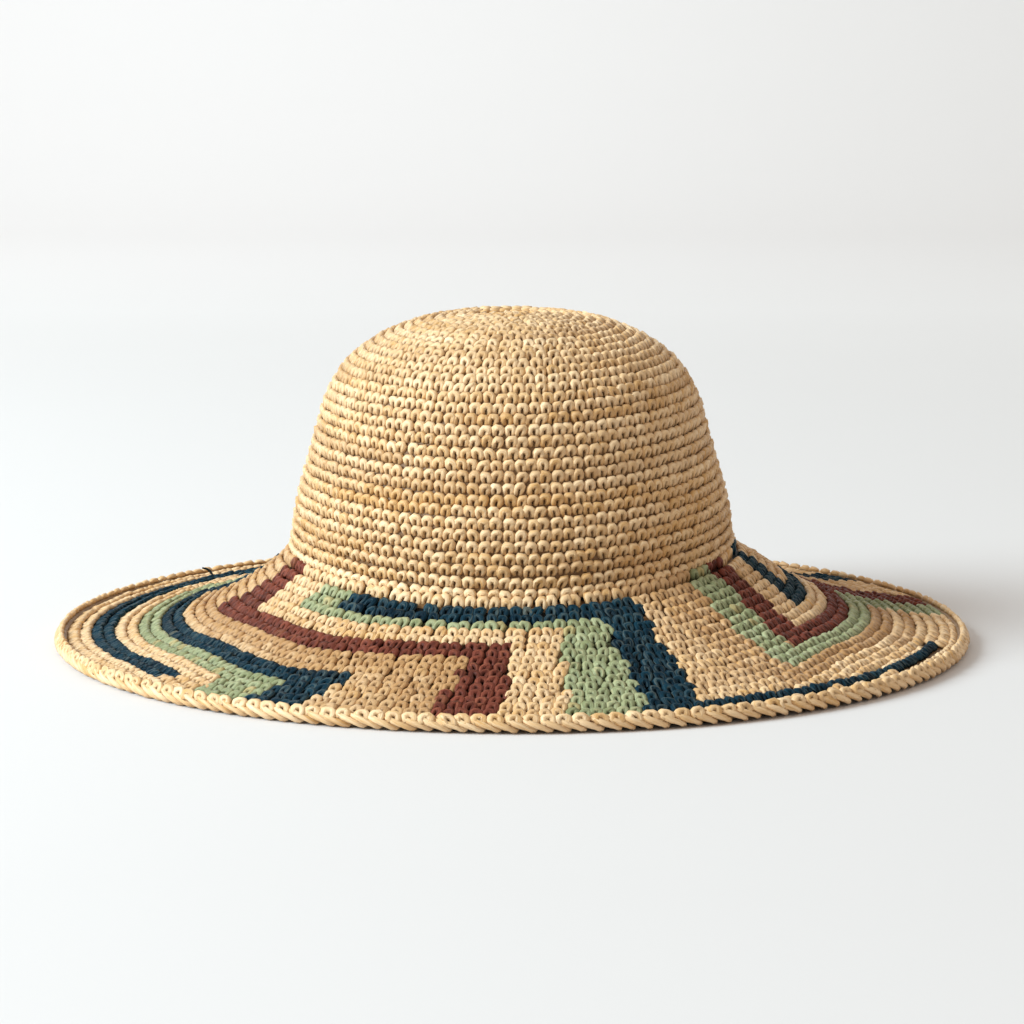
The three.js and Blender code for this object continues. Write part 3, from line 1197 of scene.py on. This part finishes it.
def pale_stage():
    """Draws the table top, and pulls its far edge up along a bend into the wall."""
    deselect_all()
    bpy.ops.mesh.primitive_plane_add(size=FLOOR_SIZE, location=(0, FLOOR_MIDDLE, 0))
    floor = bpy.context.active_object
    floor.name = "pale_floor"
    bpy.ops.object.mode_set(mode="EDIT")
    bpy.ops.mesh.select_mode(type="EDGE")
    bpy.ops.mesh.select_all(action="DESELECT")
    bpy.ops.object.mode_set(mode="OBJECT")
    for edge in floor.data.edges:
        edge.select = all(floor.data.vertices[v].co.y > 0 for v in edge.vertices)
    bpy.ops.object.mode_set(mode="EDIT")
    for step in range(BEND_STEPS):
        rise = math.radians(90 * (step + 0.5) / BEND_STEPS)
        move = (0, BEND_STEP * math.cos(rise), BEND_STEP * math.sin(rise))
        bpy.ops.mesh.extrude_edges_move(TRANSFORM_OT_translate={"value": move})
    bpy.ops.mesh.extrude_edges_move(TRANSFORM_OT_translate={"value": (0, 0, WALL_RISE)})
    bpy.ops.object.mode_set(mode="OBJECT")
    bpy.ops.object.transform_apply(location=True, rotation=True, scale=True)
    floor.data.shade_smooth()
    paper = bpy.data.materials.new("pale_paper")
    paper.use_nodes = True
    nodes, links = paper.node_tree.nodes, paper.node_tree.links
    where = nodes.new("ShaderNodeTexCoord")
    grain = nodes.new("ShaderNodeTexNoise")
    grain.inputs["Scale"].default_value = PAPER_GRAIN_SCALE
    distance = nodes.new("ShaderNodeSeparateXYZ")
    links.new(where.outputs["Object"], distance.inputs[0])
    links.new(where.outputs["Object"], grain.inputs["Vector"])
    tree = paper.node_tree
    # painted light: paler with distance back from the hat
    away = add_math(tree, "MULTIPLY_ADD", distance.outputs["Y"], FAR_SHARE_PER_METRE, FAR_SHARE_AT_HAT)
    away = add_math(tree, "MULTIPLY_ADD", grain.outputs["Fac"], PAPER_GRAIN, away, clamp=True)
    shades = add_mix(tree, NEAR_PAPER, FAR_PAPER, away)
    links.new(shades, nodes["Principled BSDF"].inputs["Base Color"])
    nodes["Principled BSDF"].inputs["Roughness"].default_value = PAPER_ROUGHNESS
    floor.data.materials.append(paper)


pale_stage()


# Light: a large soft window from the left, a wash on the wall behind, and pale air all round
AIR_COLOUR = (1, 0.95, 0.88, 1)
AIR_STRENGTH = 0.6


def lamp(name, size, power, colour, place, target):
    """Hangs a round soft lamp that looks at a target."""
    light = bpy.data.lights.new(name, "AREA")
    light.shape = "DISK"
    light.size = size
    light.energy = power
    light.color = colour
    holder = bpy.data.objects.new(name, light)
    holder.location = place
    holder.rotation_euler = (Vector(place) - Vector(target)).to_track_quat("Z", "Y").to_euler()
    bpy.context.collection.objects.link(holder)


lamp(
    "window",
    size=1.4,
    power=105,
    colour=(0.79, 0.93, 1),
    place=(-2.08, -0.76, 1.35),
    target=(0, 0, 0),
)
lamp(
    "wall_wash",
    size=1.6,
    power=34,
    colour=(0.88, 0.94, 1),
    place=(-1.1, 2.4, 2.6),
    target=(-0.6, 4.8, 0.6),
)
world = bpy.data.worlds.new("pale_air")
world.use_nodes = True
world.node_tree.nodes["Background"].inputs["Color"].default_value = AIR_COLOUR
world.node_tree.nodes["Background"].inputs["Strength"].default_value = AIR_STRENGTH
bpy.context.scene.world = world
bpy.context.scene.view_settings.view_transform = "Standard"

# Camera: a little above the brim, as in the picture
EYE_PLACE = (0, -1.178, 0.229)
EYE_TILT = math.radians(81.49)
LENS = 97.8
SENSOR = 36

eye = bpy.data.cameras.new("camera")
eye.lens = LENS
eye.sensor_width = SENSOR
camera = bpy.data.objects.new("camera", eye)
camera.location = EYE_PLACE
camera.rotation_euler = (EYE_TILT, 0, 0)
bpy.context.collection.objects.link(camera)
bpy.context.scene.camera = camera
